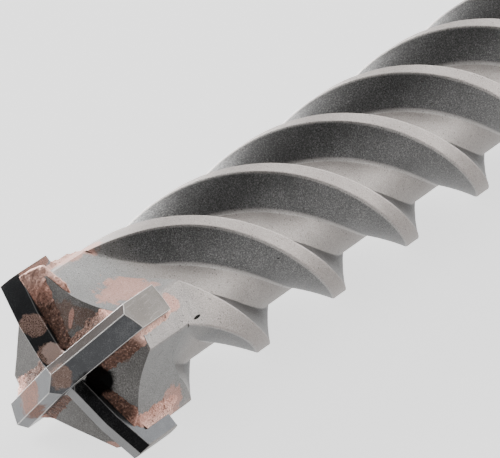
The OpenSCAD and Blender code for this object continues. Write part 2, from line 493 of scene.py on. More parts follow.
def sheet(name: str, top: np.ndarray, under: np.ndarray, turned: bool) -> Solid:
    """Closed solid between two grids of points of the same size.

    Args:
        name: Name of the solid.
        top: Grid of the outer points, rows by columns by coordinates.
        under: Grid of the inner points.
        turned: Whether the rows and columns run the other way round, seen from outside.

    Returns:
        The solid.
    """
    rows, columns = top.shape[:2]
    count = rows * columns
    number = np.arange(count).reshape(rows, columns)
    faces = []
    for offset, flip in ((0, turned), (count, not turned)):
        corners = [number[:-1, :-1], number[1:, :-1], number[1:, 1:], number[:-1, 1:]]
        quads = np.stack([c.ravel() + offset for c in corners], axis=1)
        faces += (quads[:, ::-1] if flip else quads).tolist()
    loop = [*number[0, :], *number[1:, -1], *number[-1, -2::-1], *number[-2:0:-1, 0]]
    for here, after in zip(loop, loop[1:] + loop[:1]):
        quad = [int(here), int(after), int(after) + count, int(here) + count]
        faces.append(quad[::-1] if turned else quad)
    points = np.concatenate([top.reshape(-1, 3), under.reshape(-1, 3)])
    return Solid(name, points, faces)


def lathe(name: str, profile: list[tuple[float, float]], sides: int, step: float = 0) -> Solid:
    """Turned solid about the bit's axis.

    Args:
        name: Name of the solid.
        profile: Pairs of distance along the bit and radius, all with a radius above zero.
        sides: Number of points round the axis.
        step: Longest distance between two rings, or 0 to keep the profile's own.

    Returns:
        The solid.
    """
    stops = [profile[0]]
    for start, end in zip(profile, profile[1:]):
        length = math.dist(start, end)
        parts = max(1, math.ceil(length / step)) if step else 1
        for part in range(1, parts + 1):
            share = part / parts
            stops.append(tuple(a + (b - a) * share for a, b in zip(start, end)))
    angle = np.radians(np.arange(sides) * 360 / sides)
    along, radius = np.array(stops).T[:, :, None]
    circle = (along + 0 * angle, radius * np.cos(angle), radius * np.sin(angle))
    rings = np.stack(circle, axis=2)
    return tube(name, rings)


def prism(name: str, outline: list[tuple[float, float]], start: float, end: float) -> Solid:
    """Straight solid along X.

    Args:
        name: Name of the solid.
        outline: Pairs of y and z, turning from Y to Z.
        start: Low end along X.
        end: High end along X.

    Returns:
        The solid.
    """
    yz = np.array(outline)
    rings = np.stack([np.column_stack([np.full(len(yz), x), yz]) for x in (start, end)])
    return tube(name, rings)


@dataclass(frozen=True)
class Spiral:
    """Form of the four spiral ridges and the flutes between them."""

    land_round: float = 0.12
    foot_round: float = 0.25
    ring_step: float = 0.6
    waves: float = 0.02
    wave_cells: tuple[float, float] = (4.5, 1.7)
    wave_seed: int = 1
    nose_turn: float = 60.0
    neck_lap: float = 3.0
    head_lap: float = 1.0
    foot_gap: float = 4.0
    edge_gap: float = 1.6
    halvings: int = 16
    inner_points: tuple[int, ...] = (4, 7, 7, 3)

    def nose_rise(self, turn: np.ndarray) -> np.ndarray:
        """Rise of a flute's floor at its flat beginning, at an angle from its arm."""
        past = np.radians(np.clip(turn - BIT.flat_turn, 0, self.nose_turn))
        return BIT.core_r / np.cos(past) - BIT.core_r

    def tail_rise(self, x: float) -> float:
        """Rise of a flute's floor where it runs out into the neck."""
        left = max(0.0, BIT.flute_start + BIT.tail_run - x)
        return (BIT.neck_r - BIT.core_r) * (left / BIT.tail_run) ** 2

    def radius(self, x: float, angle: np.ndarray) -> np.ndarray:
        """Radius of the surface.

        Args:
            x: Distance from the struck end.
            angle: Degrees past the rear edge of the first ridge's land, in this slice.

        Returns:
            The radius at each angle.
        """
        valley = (BIT.front_foot + BIT.rear_flank) / 2
        past = np.mod(angle - valley, QUARTER) + valley
        arm_turn = QUARTER + BIT.ridge_turn + past - BIT.twist(x)
        core = np.full_like(past, BIT.core_r)
        rising = BIT.core_r + BIT.ridge_h * (past - BIT.front_foot) / BIT.front_flank
        falling = BIT.ridge_r - BIT.ridge_h * (past - QUARTER) / BIT.rear_flank
        front = smooth_max(core, rising, self.foot_round) + self.nose_rise(arm_turn)
        rear = smooth_max(core, falling, self.foot_round) + self.nose_rise(arm_turn - QUARTER)
        flank = smooth_min(front, rear, self.land_round) + self.tail_rise(x)
        tail_top = BIT.neck_r + (BIT.ridge_r - BIT.neck_r) * (x - BIT.flute_start) / BIT.tail_cone
        top = np.full_like(past, min(BIT.ridge_r, tail_top))
        return smooth_min(flank, top, self.land_round)

    def front_edge(self, x: float) -> float:
        """Angle of the land's front edge in a slice, found by halving.

        Args:
            x: Distance from the struck end.

        Returns:
            Degrees past the rear edge of the land before it.
        """
        low, high = BIT.rear_flank + 1, QUARTER - BIT.land
        turn = QUARTER + BIT.ridge_turn - BIT.twist(x)
        for _ in range(self.halvings):
            mid = (low + high) / 2
            flank = BIT.ridge_h * max(0.0, mid - BIT.front_foot) / BIT.front_flank
            if flank + float(self.nose_rise(np.array(turn + mid))) < BIT.ridge_h:
                low = mid
            else:
                high = mid
        return (low + high) / 2

    def slice_angles(self, x: float) -> np.ndarray:
        """Angles of one ridge's points, close together beside its edges.

        Args:
            x: Distance from the struck end.

        Returns:
            Degrees past the rear edge of a land, rising.
        """
        edge = self.front_edge(x)
        gap = min(self.foot_gap, (edge - BIT.rear_flank) / 2)
        foot = min(BIT.front_foot, edge - gap)
        stops = [0.0, BIT.rear_flank, foot, edge, QUARTER]
        angles = []
        for start, end, count in zip(stops, stops[1:], self.inner_points):
            margin = min(self.edge_gap, (end - start) / 3)
            inner = np.linspace(start + margin, end - margin, count)
            angles += [start, start + margin / 2, *inner, end - margin / 2]
        return np.array(angles)

    def solid(self) -> Solid:
        """The four ridges as one solid that laps into the neck and the head.

        Returns:
            The solid.
        """
        low = BIT.flute_start - self.neck_lap
        high = BIT.total - BIT.flute_peak + self.head_lap
        count = math.ceil((high - low) / self.ring_step) + 1
        rings = []
        for x in np.linspace(low, high, count):
            angle = np.concatenate([self.slice_angles(x) + QUARTER * i for i in range(ARMS)])
            turn = np.radians(FIRST_ARM + BIT.ridge_turn + angle - BIT.twist(x))
            radius = self.radius(x, angle)
            circle = [np.full_like(turn, x), radius * np.cos(turn), radius * np.sin(turn)]
            rings.append(np.column_stack(circle))
        rings = np.array(rings)
        spots = rings.reshape(-1, 3)
        ripple = two_noises(spots, self.wave_cells, 0.5, self.wave_seed)
        outward = spots * np.array([0, 1, 1])
        outward /= np.linalg.norm(outward, axis=1)[:, None]
        spots = spots - outward * self.waves * (1 + ripple[:, None])
        return tube("ridges", spots.reshape(rings.shape))


@dataclass
class SteelBody:
    """Forged body: slotted shank, neck, spiral ridges and the head with its seat."""

    shank_sides: int = 192
    head_sides: int = 360
    head_step: float = 0.4
    neck_lap: float = 0.5
    ridge_lap: float = 0.02
    over: float = 1.0
    reach: float = 40.0
    dents: float = 0.03
    dent_cells: tuple[float, float] = (2.6, 0.9)
    dent_seed: int = 5
    crease: float = 32.0

    def shank(self) -> Solid:
        """Turned shank and neck with the driving and locking grooves.

        Returns:
            The solid.
        """
        profile = [
            (0, BIT.shank_r - BIT.shank_chamfer),
            (BIT.shank_chamfer, BIT.shank_r),
            (BIT.shank_l, BIT.shank_r),
            (BIT.shank_l + BIT.neck_cone, BIT.neck_r),
            (BIT.flute_start + self.neck_lap, BIT.neck_r),
        ]
        blank = lathe("shank", profile, self.shank_sides)
        down = -QUARTER
        for turn in (down, down + 180 - BIT.drive_spread, down + 180 + BIT.drive_spread):
            blank.cut(Cut.TAKE_OFF, self.drive_groove().turn(turn))
        for turn in (0, 180):
            blank.cut(Cut.TAKE_OFF, self.locking_groove().turn(turn))
        return blank

    def drive_groove(self) -> Solid:
        """Open groove along +Y with the run-out of a disc cutter.

        Returns:
            The solid that cuts it.
        """
        floor = BIT.shank_r - BIT.drive_depth
        centre = floor + BIT.drive_run_r
        arc = np.radians(np.linspace(-90, 0, 25))
        run_out = BIT.drive_run_r * np.column_stack([np.cos(arc), np.sin(arc)])
        side = [(-self.over, floor), *(run_out + (BIT.drive_l, centre)), (-self.over, centre)]
        half = BIT.drive_w / 2
        rings = [[(x, y, z) for x, y in side] for z in (-half, half)]
        return tube("drive_groove", np.array(rings))

    def locking_groove(self) -> Solid:
        """Closed groove along +Y with round ends and a round floor.

        Returns:
            The solid that cuts it.
        """
        track = BIT.lock_w / 2
        floor = BIT.shank_r - BIT.lock_depth
        half = BIT.lock_l / 2 - track
        middle = BIT.lock_start + BIT.lock_l / 2
        bow = np.radians(np.linspace(8, 90, 12))
        heights = [*track * (1 - np.cos(bow)), BIT.lock_depth + 3 * self.over]
        widths = [*track * np.sin(bow), track]
        turn = np.radians(np.linspace(90, -90, 25))
        rings = []
        for height, wide in zip(heights, widths):
            ring = []
            for end in (-1, 1):
                along = middle + end * (half + wide * np.cos(turn))
                across = end * wide * np.sin(turn)
                ring.append(np.column_stack([along, np.full_like(turn, floor + height), across]))
            rings.append(np.concatenate(ring))
        return tube("locking_groove", np.array(rings))

    def head(self) -> Solid:
        """Turned head blank without the spaces where the flutes begin.

        Returns:
            The solid.
        """
        back = BIT.total - BIT.flute_peak - BIT.peak_fall * BIT.ridge_r
        profile = [(back, BIT.ridge_r + self.ridge_lap), (BIT.cross_foot, BIT.head_r)]
        profile += BIT.front_cone(BIT.head_r)
        blank = lathe("head", profile, self.head_sides, self.head_step)
        for arm in BIT.arm_angles:
            blank.cut(Cut.TAKE_OFF, self.flute_beginning().turn(arm + BIT.peak_turn))
        return blank

    def flute_beginning(self) -> Solid:
        """Space under the pointed roof where a flute begins, along +Y.

        Returns:
            The solid that cuts it.
        """
        peak = BIT.total - BIT.flute_peak
        side = self.reach / 2
        eaves = peak - BIT.peak_fall * side
        back = peak - side
        roof = [(eaves, -side), (back, -side), (back, side), (eaves, side), (peak, 0.0)]
        rings = [[(x, y, z) for x, z in roof] for y in (0.0, self.reach)]
        return tube("flute_beginning", np.array(rings))

    def side_face(self) -> Solid:
        """Space outside one hollow side face, along +Y, with a slanted rear end.

        Returns:
            The solid that cuts it.
        """
        centre = BIT.face_centre
        angle = np.radians(np.linspace(-25, 25, 161))
        round_part = -BIT.face_hollow * np.column_stack([np.cos(angle), np.sin(angle)])
        arc = round_part + (centre, 0.0)
        outline = np.array([*arc, (centre, arc[-1][1]), (centre, arc[0][1])])
        rear = BIT.total - BIT.face_end + BIT.face_end_slant * outline[:, 1]
        length = BIT.total + 2 * self.over - rear
        shares = np.linspace(0, 1, 40)
        rings = np.array([np.column_stack([rear + length * share, outline]) for share in shares])
        spots = rings.reshape(-1, 3)
        spots[:, 1] += self.dents * two_noises(spots, self.dent_cells, 0.5, self.dent_seed)
        return tube("side_face", spots.reshape(rings.shape))

    def seat(self) -> Solid:
        """Space of the cross and the copper layer under and beside it."""
        foot = BIT.cross_foot - BIT.braze_t
        return cross_column("seat", foot, BIT.total + 5 * self.over, BIT.braze_t)

    def build(self) -> bpy.types.Object:
        """Makes the whole steel body.

        Returns:
            The finished piece, in place of the plain CAD node.
        """
        body = Spiral().solid()
        body.cut(Cut.JOIN, self.shank(), self.head())
        for arm in BIT.arm_angles:
            body.cut(Cut.TAKE_OFF, self.side_face().turn(arm + BIT.face_turn))
        body.cut(Cut.TAKE_OFF, self.seat())
        body.weld()
        piece = body.finish("forged_body", self.crease)
        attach(piece, "root")
        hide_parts("steel_body")
        return piece


def cross_column(name: str, start: float, end: float, gap: float, reach: float = 20.0) -> Solid:
    """Column with the cross's outline, its arms at the bit's arm angles.

    Args:
        name: Name of the solid.
        start: Low end along X.
        end: High end along X.
        gap: Distance of its sides outside those of the cross.
        reach: Length of an arm from the axis.

    Returns:
        The column.
    """
    half, fillet = BIT.arm_half + gap, BIT.corner_r - gap
    arc = [math.radians(270 - 90 * step / 8) for step in range(9)]
    arm = [(reach, -half), (reach, half)]
    arm += [(half + fillet * (1 + math.cos(a)), half + fillet * (1 + math.sin(a))) for a in arc]
    outline = []
    for turn in map(math.radians, BIT.arm_angles):
        cos, sin = math.cos(turn), math.sin(turn)
        outline += [(out * cos - side * sin, out * sin + side * cos) for out, side in arm]
    return prism(name, outline, start, end)


@dataclass
class CuttingCross:
    """Sintered hard-metal cross with its ground facets."""

    bevel: float = 0.07
    rim_sides: int = 256
    over: float = 1.0
    crease: float = 50.0

    def halfspace(self, arm: float, setback: float, along: float, across: float) -> Plane:
        """One ground facet.

        Args:
            arm: Angle of the arm.
            setback: Distance behind the tip at which the facet's plane meets the axis.
            along: Fall of the plane along the arm.
            across: Fall of the plane towards the arm's leading side.

        Returns:
            A point of the plane and its outward normal.
        """
        turn = math.radians(arm)
        out = Vector((0, math.cos(turn), math.sin(turn)))
        lead = Vector((0, -math.sin(turn), math.cos(turn)))
        normal = (Vector((1, 0, 0)) + along * out + across * lead).normalized()
        return Vector((BIT.total - setback, 0, 0)), normal

    def facets(self, arm: float, setback: float, fall: float) -> list[Plane]:
        """Relief and rake facets of one edge.

        Args:
            arm: Angle of the arm.
            setback: Distance behind the tip at which the edge meets the axis.
            fall: Fall of the edge along the arm.

        Returns:
            The two facets' planes.
        """
        return [
            self.halfspace(arm, setback - across * BIT.edge_offset, fall, across)
            for across in (-BIT.relief_fall, BIT.rake_fall)
        ]

    def ground_bar(self, name: str, arm: float, planes: list[Plane]) -> Solid:
        """Bar through the axis that is cut back to its facets.

        Args:
            name: Name of the solid.
            arm: Angle of the bar.
            planes: Planes of its facets, with outward normals.

        Returns:
            The bar.
        """
        half = BIT.arm_half
        reach = BIT.cut_r + 2 * self.over
        outline = [(-reach, -half), (reach, -half), (reach, half), (-reach, half)]
        bar = prism(name, outline, BIT.cross_foot, BIT.total + 2 * self.over).turn(arm)
        with bar.edited() as mesh:
            for point, normal in planes:
                cut = bmesh.ops.bisect_plane(
                    mesh,
                    geom=mesh.verts[:] + mesh.edges[:] + mesh.faces[:],
                    plane_co=point,
                    plane_no=normal,
                    clear_outer=True,
                )
                edges = [e for e in cut["geom_cut"] if isinstance(e, bmesh.types.BMEdge)]
                bmesh.ops.edgeloop_fill(mesh, edges=edges)
            bmesh.ops.recalc_face_normals(mesh, faces=mesh.faces[:])
        return bar

    def build(self) -> bpy.types.Object:
        """Makes the cross.

        Returns:
            The finished piece, in place of the plain CAD node.
        """
        main_set = -BIT.relief_fall * BIT.edge_offset
        knee = BIT.side_set + (BIT.side_inner_fall - BIT.side_outer_fall) * BIT.side_knee
        main, side = [], []
        for turn in (FIRST_ARM, FIRST_ARM + 180):
            main += self.facets(turn, main_set, BIT.main_fall)
            side += self.facets(turn + QUARTER, BIT.side_set, BIT.side_inner_fall)
            side += self.facets(turn + QUARTER, knee, BIT.side_outer_fall)
        cross = self.ground_bar("cross", FIRST_ARM, main)
        cross.cut(Cut.JOIN, self.ground_bar("side_arms", FIRST_ARM + QUARTER, side))
        ends = (BIT.cross_foot - self.over, BIT.total + 3 * self.over)
        cross.cut(Cut.KEEP_INSIDE, lathe("rim", [(x, BIT.cut_r) for x in ends], self.rim_sides))
        cross.round_edges(self.bevel, BIT.arm_half * math.sqrt(2), BIT.corner_r)
        # Marks the rounded edges for their painted highlight.
        cross.mark_narrow(EDGE_MARK, self.bevel)
        piece = cross.finish("hard_metal_cross", self.crease, flat=True)
        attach(piece, "root")
        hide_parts("cutting_cross")
        return piece


@dataclass(frozen=True)
class Seam:
    """Copper beside one side of one arm, with its sizes in millimetres."""

    arm: int
    leading: bool
    width: float
    lift: float
    leg: float
    tail: float
    past: float = 0.0


@dataclass(frozen=True)
class Foot:
    """Copper under the end of one arm, with its sizes in millimetres."""

    arm: int
    reach: float
    tail: float


@dataclass
class Braze:
    """Copper that filled the seat and was pressed out along its edges."""

    line_set: float = 2.9
    line_fall: float = 0.19
    line_least: float = 0.3
    grain: float = 0.02
    grain_cells: tuple[float, float] = (0.34, 1.1)
    grit: float = 0.035
    grit_cell: float = 0.24
    sunk: float = 0.15
    skin: float = 0.03
    lap: float = 0.05
    root: float = 0.5
    voxel: float = 0.11
    crumb_points: int = 500
    bank_start: float = 0.4
    bank_spread: float = 1.5
    bank_hollow: float = 1.6
    fade_in: float = 0.5
    tuck: float = 0.1
    leg_hollow: float = 1.7
    leg_waves: float = 0.18
    wall_hollow: float = 1.9
    wall_waves: float = 0.04
    collar_set: float = 0.06
    foot_side: float = 0.5
    foot_waves: float = 0.15
    foot_lap: float = 0.05
    layer_sides: int = 256
    crease: float = 60.0
    bank_grid: tuple[int, int] = (36, 90)
    collar_grid: tuple[int, int] = (90, 24)
    foot_grid: tuple[int, int] = (50, 40)
    bank_seed: int = 11
    collar_seed: int = 31
    foot_seed: int = 41
    grit_seed: int = 51
    seams: tuple[Seam, ...] = (
        Seam(0, True, 1.8, 1.0, 0.30, 0.4),
        Seam(0, False, 2.0, 1.0, 1.05, 1.6),
        Seam(1, True, 1.7, 0.9, 0.60, 0.8),
        Seam(1, False, 2.7, 1.3, 1.10, 4.8, 1.3),
        Seam(2, True, 1.6, 1.0, 0.60, 0.9),
        Seam(2, False, 2.1, 1.1, 0.80, 1.2),
        Seam(3, True, 1.9, 1.1, 1.15, 3.0),
        Seam(3, False, 1.3, 0.9, 0.55, 0.8),
    )
    feet: tuple[Foot, ...] = (
        Foot(0, 0.9, 1.5),
        Foot(1, 1.0, 5.4),
        Foot(2, 0.9, 1.4),
        Foot(3, 1.0, 2.0),
    )

    def rim_at(self, side: np.ndarray) -> np.ndarray:
        """Distance of the head's outer faces along an arm, at distances beside the arm's middle.

        Args:
            side: Distances beside the middle of the arm.

        Returns:
            Distances from the axis along the arm.
        """
        rim = np.sqrt(BIT.head_r**2 - side**2)
        for turn in np.radians([BIT.face_turn, BIT.face_turn - QUARTER]):
            along, across = BIT.face_centre * np.cos(turn), BIT.face_centre * np.sin(turn)
            room = BIT.face_hollow**2 - (side - across) ** 2
            face = along - np.sqrt(np.maximum(room, 0))
            rim = np.where(room > 0, np.minimum(rim, face), rim)
        return rim

    def placed(self, arm: int, back: np.ndarray, out: np.ndarray, side: np.ndarray) -> np.ndarray:
        """Points of a grid on one arm.

        Args:
            arm: Number of the arm.
            back: Distances behind the tip.
            out: Distances from the axis along the arm.
            side: Distances towards the arm's leading side.

        Returns:
            Grid of x, y, z, as large as the three together.
        """
        spin = rotation_about_bit(BIT.arm_angles[arm])
        return np.stack(np.broadcast_arrays(BIT.total - back, out, side), axis=-1) @ spin.T

    def rough(self, spots: np.ndarray, seed: int) -> np.ndarray:
        """Grainy noise on a grid of points, about -1 to 1."""
        noise = two_noises(spots.reshape(-1, 3), self.grain_cells, 0.7, seed)
        return noise.reshape(spots.shape[:-1])

    def grid(self, size: tuple[int, int]) -> tuple[np.ndarray, np.ndarray]:
        """Shares from 0 to 1 down the rows and along the columns of a grid."""
        rows, columns = size
        return np.linspace(0, 1, rows)[:, None], np.linspace(0, 1, columns)[None, :]

    def bank(self, seam: Seam) -> Solid:
        """Copper on the steel front along one side of an arm.

        Args:
            seam: Place and sizes of the copper.

        Returns:
            The solid.
        """
        sign = 1 if seam.leading else -1
        down, along = self.grid(self.bank_grid)
        beside = -self.sunk + (seam.width * self.bank_spread + self.sunk) * down
        side = sign * (BIT.arm_half + beside)
        start = BIT.arm_half + self.bank_start
        out = start + (self.rim_at(side) - self.skin + seam.past - start) * along
        steel = BIT.front_set + BIT.front_fall * np.hypot(out, side)
        noise = self.rough(self.placed(seam.arm, steel, out, side), self.bank_seed + seam.arm)
        line = self.line_set + self.line_fall * out
        height = np.maximum(self.line_least, steel - line) * seam.lift
        width = seam.width * (0.86 + 0.16 * noise) * (0.6 + 0.4 * out / BIT.head_r)
        rise = np.clip(1 - np.maximum(beside, 0) / width, 0, 1) ** self.bank_hollow
        lift = height * rise + self.grain * noise * np.minimum(1, 4 * rise)
        lift -= self.sunk * (rise <= 0)
        top = self.placed(seam.arm, steel - lift, out, side)
        under = self.placed(seam.arm, steel + self.root, out, side)
        return sheet("bank", top, under, seam.leading)

    def collar(self, seam: Seam) -> Solid:
        """Fillet between the side of an arm and the outer face of the head.

        Args:
            seam: Place and sizes of the copper.

        Returns:
            The solid.
        """
        sign = 1 if seam.leading else -1
        top = self.line_set + self.line_fall * BIT.head_r
        down, share = self.grid(self.collar_grid)
        back = top + (BIT.cross_h + seam.tail - top) * down
        past = np.clip((back - BIT.cross_h) / seam.tail, 0, 1)
        near = np.clip((back - top) / self.fade_in, 0, 1)
        corner = self.rim_at(sign * BIT.arm_half)
        noise = self.rough(self.placed(seam.arm, back, corner, sign * share), self.collar_seed)
        leg = seam.leg * near * np.sqrt(np.maximum(1 - past, 0))
        leg = leg * (1 + self.leg_waves * noise)
        side = sign * (BIT.arm_half - self.tuck + (leg + self.tuck) * share**self.leg_hollow)
        wall = (leg + self.wall_waves * noise) * (1 - share) ** self.wall_hollow
        face = self.rim_at(side)
        out = face + wall - self.sunk * (share == 1) - self.collar_set
        outer = self.placed(seam.arm, back, out, side)
        inner = self.placed(seam.arm, back, face - self.root, side)
        return sheet("collar", outer, inner, not seam.leading)

    def foot(self, foot: Foot) -> Solid:
        """Copper between the underside of an arm's end and the head.

        Args:
            foot: Place and sizes of the copper.

        Returns:
            The solid.
        """
        half = BIT.arm_half + self.foot_side
        down, share = self.grid(self.foot_grid)
        side = half * (2 * down - 1)
        face = self.rim_at(side)
        fade = np.sqrt(np.clip(1 - (side / half) ** 4, 0, 1))
        spots = self.placed(foot.arm, BIT.cross_h + 3 * share, 11.0, side)
        noise = self.rough(spots, self.foot_seed)
        out = face + foot.reach * (1 - share) ** 2 * fade * (1 + self.foot_waves * noise)
        out += (self.grain * noise + self.tuck) * fade * (1 - share)
        out -= self.sunk * (share == 1)
        drop = foot.tail * share**self.bank_hollow * (0.3 + 0.7 * fade)
        back = BIT.cross_h - self.foot_lap + drop
        outer = self.placed(foot.arm, back, out, side)
        inner = self.placed(foot.arm, back, face - self.root, side)
        return sheet("foot", outer, inner, False)

    def layer(self) -> Solid:
        """Thin copper layer between the cross and its seat.

        Returns:
            The solid.
        """
        inside = BIT.head_r - self.skin
        profile = [(BIT.total - BIT.flute_peak, inside), *BIT.front_cone(inside)]
        blank = lathe("layer", profile, self.layer_sides)
        foot = BIT.cross_foot
        seat = cross_column("seat_space", foot - BIT.braze_t, BIT.total, BIT.braze_t)
        cross = cross_column("cross_space", foot + self.lap, BIT.total + 1, -self.lap, 21.0)
        return blank.cut(Cut.KEEP_INSIDE, seat).cut(Cut.TAKE_OFF, cross)

    def build(self) -> bpy.types.Object:
        """Makes all the copper.

        Returns:
            The finished piece, in place of the plain CAD node.
        """
        fillets, *shells = [
            *(self.bank(seam) for seam in self.seams),
            *(self.collar(seam) for seam in self.seams),
            *(self.foot(foot) for foot in self.feet),
        ]
        for shell in shells:
            fillets.add(shell)
        fillets.remesh(self.voxel)
        fillets.drop_crumbs(self.crumb_points)
        fillets.roughen(self.grit, self.grit_cell, self.grit_seed)
        copper = self.layer()
        copper.add(fillets)
        piece = copper.finish("copper_fillets", self.crease)
        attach(piece, "root")
        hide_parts("copper_braze")
        return piece


class Signal:
    """A number that varies over a surface, on which Python's operators add Math nodes."""

    def __init__(self, tree: Graph, socket: bpy.types.NodeSocket) -> None:
        """Keeps the tree that gets the nodes and the socket that gives the value."""
        self.tree = tree
        self.socket = socket

    def math(self, operation: str, *others: Signal | float) -> Signal:
        """Adds a Math node with this value as its first input."""
        return self.tree.math(operation, self, *others)

    def __add__(self, other: Signal | float) -> Signal:
        """Sum."""
        return self.tree.math("ADD", self, other)

    __radd__ = __add__

    def __sub__(self, other: Signal | float) -> Signal:
        """Difference."""
        return self.tree.math("SUBTRACT", self, other)

    def __rsub__(self, other: float) -> Signal:
        """Difference from a number."""
        return self.tree.math("SUBTRACT", other, self)

    def __mul__(self, other: Signal | float) -> Signal:
        """Product."""
        return self.tree.math("MULTIPLY", self, other)

    __rmul__ = __mul__

    def __neg__(self) -> Signal:
        """Opposite number."""
        return 0.0 - self

    def clamp(self) -> Signal:
        """The value kept from 0 to 1."""
        return self.tree.value("ShaderNodeClamp", {}, {"Value": self})

    def ramp(self, low: float, high: float) -> Signal:
        """The value as a smooth step from 0 at low to 1 at high."""
        inputs = {"Value": self, "From Min": low, "From Max": high}
        return self.tree.value("ShaderNodeMapRange", {"interpolation_type": "SMOOTHSTEP"}, inputs)


class Graph:
    """A node tree and short ways to fill it."""

    def __init__(
        self, owner: bpy.types.Material | bpy.types.World, place: str, scale: float
    ) -> None:
        """Takes the node tree of a new material or world.

        Args:
            owner: The material or world.
            place: Output of the Texture Coordinate node that gives the place.
            scale: Number by which the place is multiplied.
        """
        owner.use_nodes = True
        self.owner = owner
        self.nodes = owner.node_tree.nodes
        self.links = owner.node_tree.links
        source = self.node("ShaderNodeTexCoord", {}, {}).outputs[place]
        settings, inputs = {"operation": "SCALE"}, {0: source, "Scale": scale}
        self.place = self.node("ShaderNodeVectorMath", settings, inputs).outputs["Vector"]

    @classmethod
    def of_material(cls, name: str) -> Graph:
        """Graph of a new material, with places in millimetres."""
        return cls(bpy.data.materials.new(name), "Object", 1 / MM)

    @classmethod
    def of_world(cls, name: str) -> Graph:
        """Graph of a new world, with directions as places."""
        return cls(bpy.data.worlds.new(name), "Generated", 1.0)

    @property
    def normal(self) -> bpy.types.NodeSocket:
        """Direction of the surface."""
        return self.node("ShaderNodeTexCoord", {}, {}).outputs["Normal"]

    def shade(self, inputs: dict[str, object]) -> bpy.types.Material:
        """Feeds the material's Principled BSDF.

        Args:
            inputs: Values or links of its sockets, by name.

        Returns:
            The material.
        """
        for name, value in inputs.items():
            self.feed(self.nodes["Principled BSDF"].inputs[name], value)
        return self.owner

    def node(self, kind: str, settings: dict, inputs: dict) -> bpy.types.Node:
        """Adds any node.

        Args:
            kind: Blender's type name of the node.
            settings: Properties that are set before the inputs.
            inputs: Values or links of the node's sockets, by name or number.

        Returns:
            The new node.
        """
        made = self.nodes.new(kind)
        for key, value in settings.items():
            setattr(made, key, value)
        for key, value in inputs.items():
            self.feed(made.inputs[key], value)
        return made

    def feed(self, socket: bpy.types.NodeSocket, value: object) -> None:
        """Links a signal or a socket to an input, or sets a plain value on it.

        Args:
            socket: The input.
            value: Signal, socket or plain value.
        """
        if isinstance(value, Signal):
            value = value.socket
        if isinstance(value, bpy.types.NodeSocket):
            self.links.new(value, socket)
        else:
            socket.default_value = value

    def value(self, kind: str, settings: dict, inputs: dict, output: int | str = 0) -> Signal:
        """Adds a node and gives one of its outputs as a number."""
        return Signal(self, self.node(kind, settings, inputs).outputs[output])

    def math(self, operation: str, *values: Signal | float) -> Signal:
        """Adds a Math node."""
        return self.value("ShaderNodeMath", {"operation": operation}, dict(enumerate(values)))

    def vector_math(self, operation: str, *values: object) -> bpy.types.Node:
        """Adds a Vector Math node."""
        return self.node("ShaderNodeVectorMath", {"operation": operation}, dict(enumerate(values)))

    def noise(
        self,
        size: float,
        detail: float = 2.0,
        rough: float = 0.5,
        place: bpy.types.NodeSocket | None = None,
    ) -> Signal:
        """Noise with humps of a size in millimetres, about 0 to 1.

        Args:
            size: Size of one hump.
            detail: Number of finer layers.
            rough: Strength of the finer layers.
            place: Place to read it at, or None for the surface's own.

        Returns:
            The noise.
        """
        place = place or self.place
        inputs = {"Vector": place, "Scale": 1 / size, "Detail": detail, "Roughness": rough}
        return self.value("ShaderNodeTexNoise", {"normalize": True}, inputs, "Fac")

    def grains(self, size: float) -> Signal:
        """Distance to the middle of the nearest grain, about 0 to 1."""
        inputs = {"Vector": self.place, "Scale": 1 / size, "Randomness": 1.0}
        return self.value("ShaderNodeTexVoronoi", {}, inputs, "Distance")

    def mix(self, share: Signal | float, first: object, second: object) -> bpy.types.NodeSocket:
        """Colour between two colours.

        Args:
            share: Share of the second colour, kept from 0 to 1.
            first: Colour at share 0.
            second: Colour at share 1.

        Returns:
            The mixed colour.
        """
        settings = {"data_type": "RGBA", "clamp_factor": True}
        made = self.node("ShaderNodeMix", settings, {"Factor": share})
        colours = [s for s in made.inputs if s.type == "RGBA"]
        self.feed(colours[0], first)
        self.feed(colours[1], second)
        return next(s for s in made.outputs if s.type == "RGBA")

    def layers(self, base: object, *coats: tuple[Signal, object]) -> bpy.types.NodeSocket:
        """Lays coats of colour over each other.

        Args:
            base: The lowest colour.
            coats: Shares and colours, in the order in which they are laid.

        Returns:
            The colour that shows.
        """
        for share, colour in coats:
            base = self.mix(share, base, colour)
        return base

    def patch(self, stain: Stain) -> Signal:
        """Share of a stain at each place, with a ragged edge.

        Args:
            stain: Place and size of the stain.

        Returns:
            Share from 0 to 1.
        """
        middle = (BIT.total - stain.behind, stain.y, stain.z)
        offset = self.vector_math("SUBTRACT", self.place, middle).outputs["Vector"]
        near = self.vector_math("DIVIDE", offset, stain.reach).outputs["Vector"]
        away = Signal(self, self.vector_math("LENGTH", near).outputs["Value"])
        ragged = (self.noise(STAIN_CELL, 3.0, 0.6) - 0.5) * stain.ragged
        return 1 - (away + ragged).ramp(stain.soft, STAIN_END)

    def patches(self, stains: tuple[Stain, ...]) -> Signal:
        """Share of the strongest of several stains.

        Args:
            stains: Places and sizes of the stains.

        Returns:
            Share from 0 to 1.
        """
        strongest, *others = [self.patch(stain) for stain in stains]
        for share in others:
            strongest = strongest.math("MAXIMUM", share)
        return strongest

    def cosine(self, way: bpy.types.NodeSocket, direction: Triple) -> Signal:
        """Cosine of the angle between a varying direction and a fixed one."""
        unit = tuple(Vector(direction).normalized())
        return Signal(self, self.vector_math("DOT_PRODUCT", way, unit).outputs["Value"])

    def turned_to(self, direction: Triple) -> Signal:
        """Share of faces that look almost exactly in one direction."""
        return self.cosine(self.normal, direction).ramp(*SIDE_BAND)

    def axis(self, name: str) -> Signal:
        """One coordinate of the place, X, Y or Z."""
        return self.value("ShaderNodeSeparateXYZ", {}, {0: self.place}, name)

    def facing(self, name: str) -> Signal:
        """One part of the surface's direction, X, Y or Z."""
        return self.value("ShaderNodeSeparateXYZ", {}, {0: self.normal}, name)

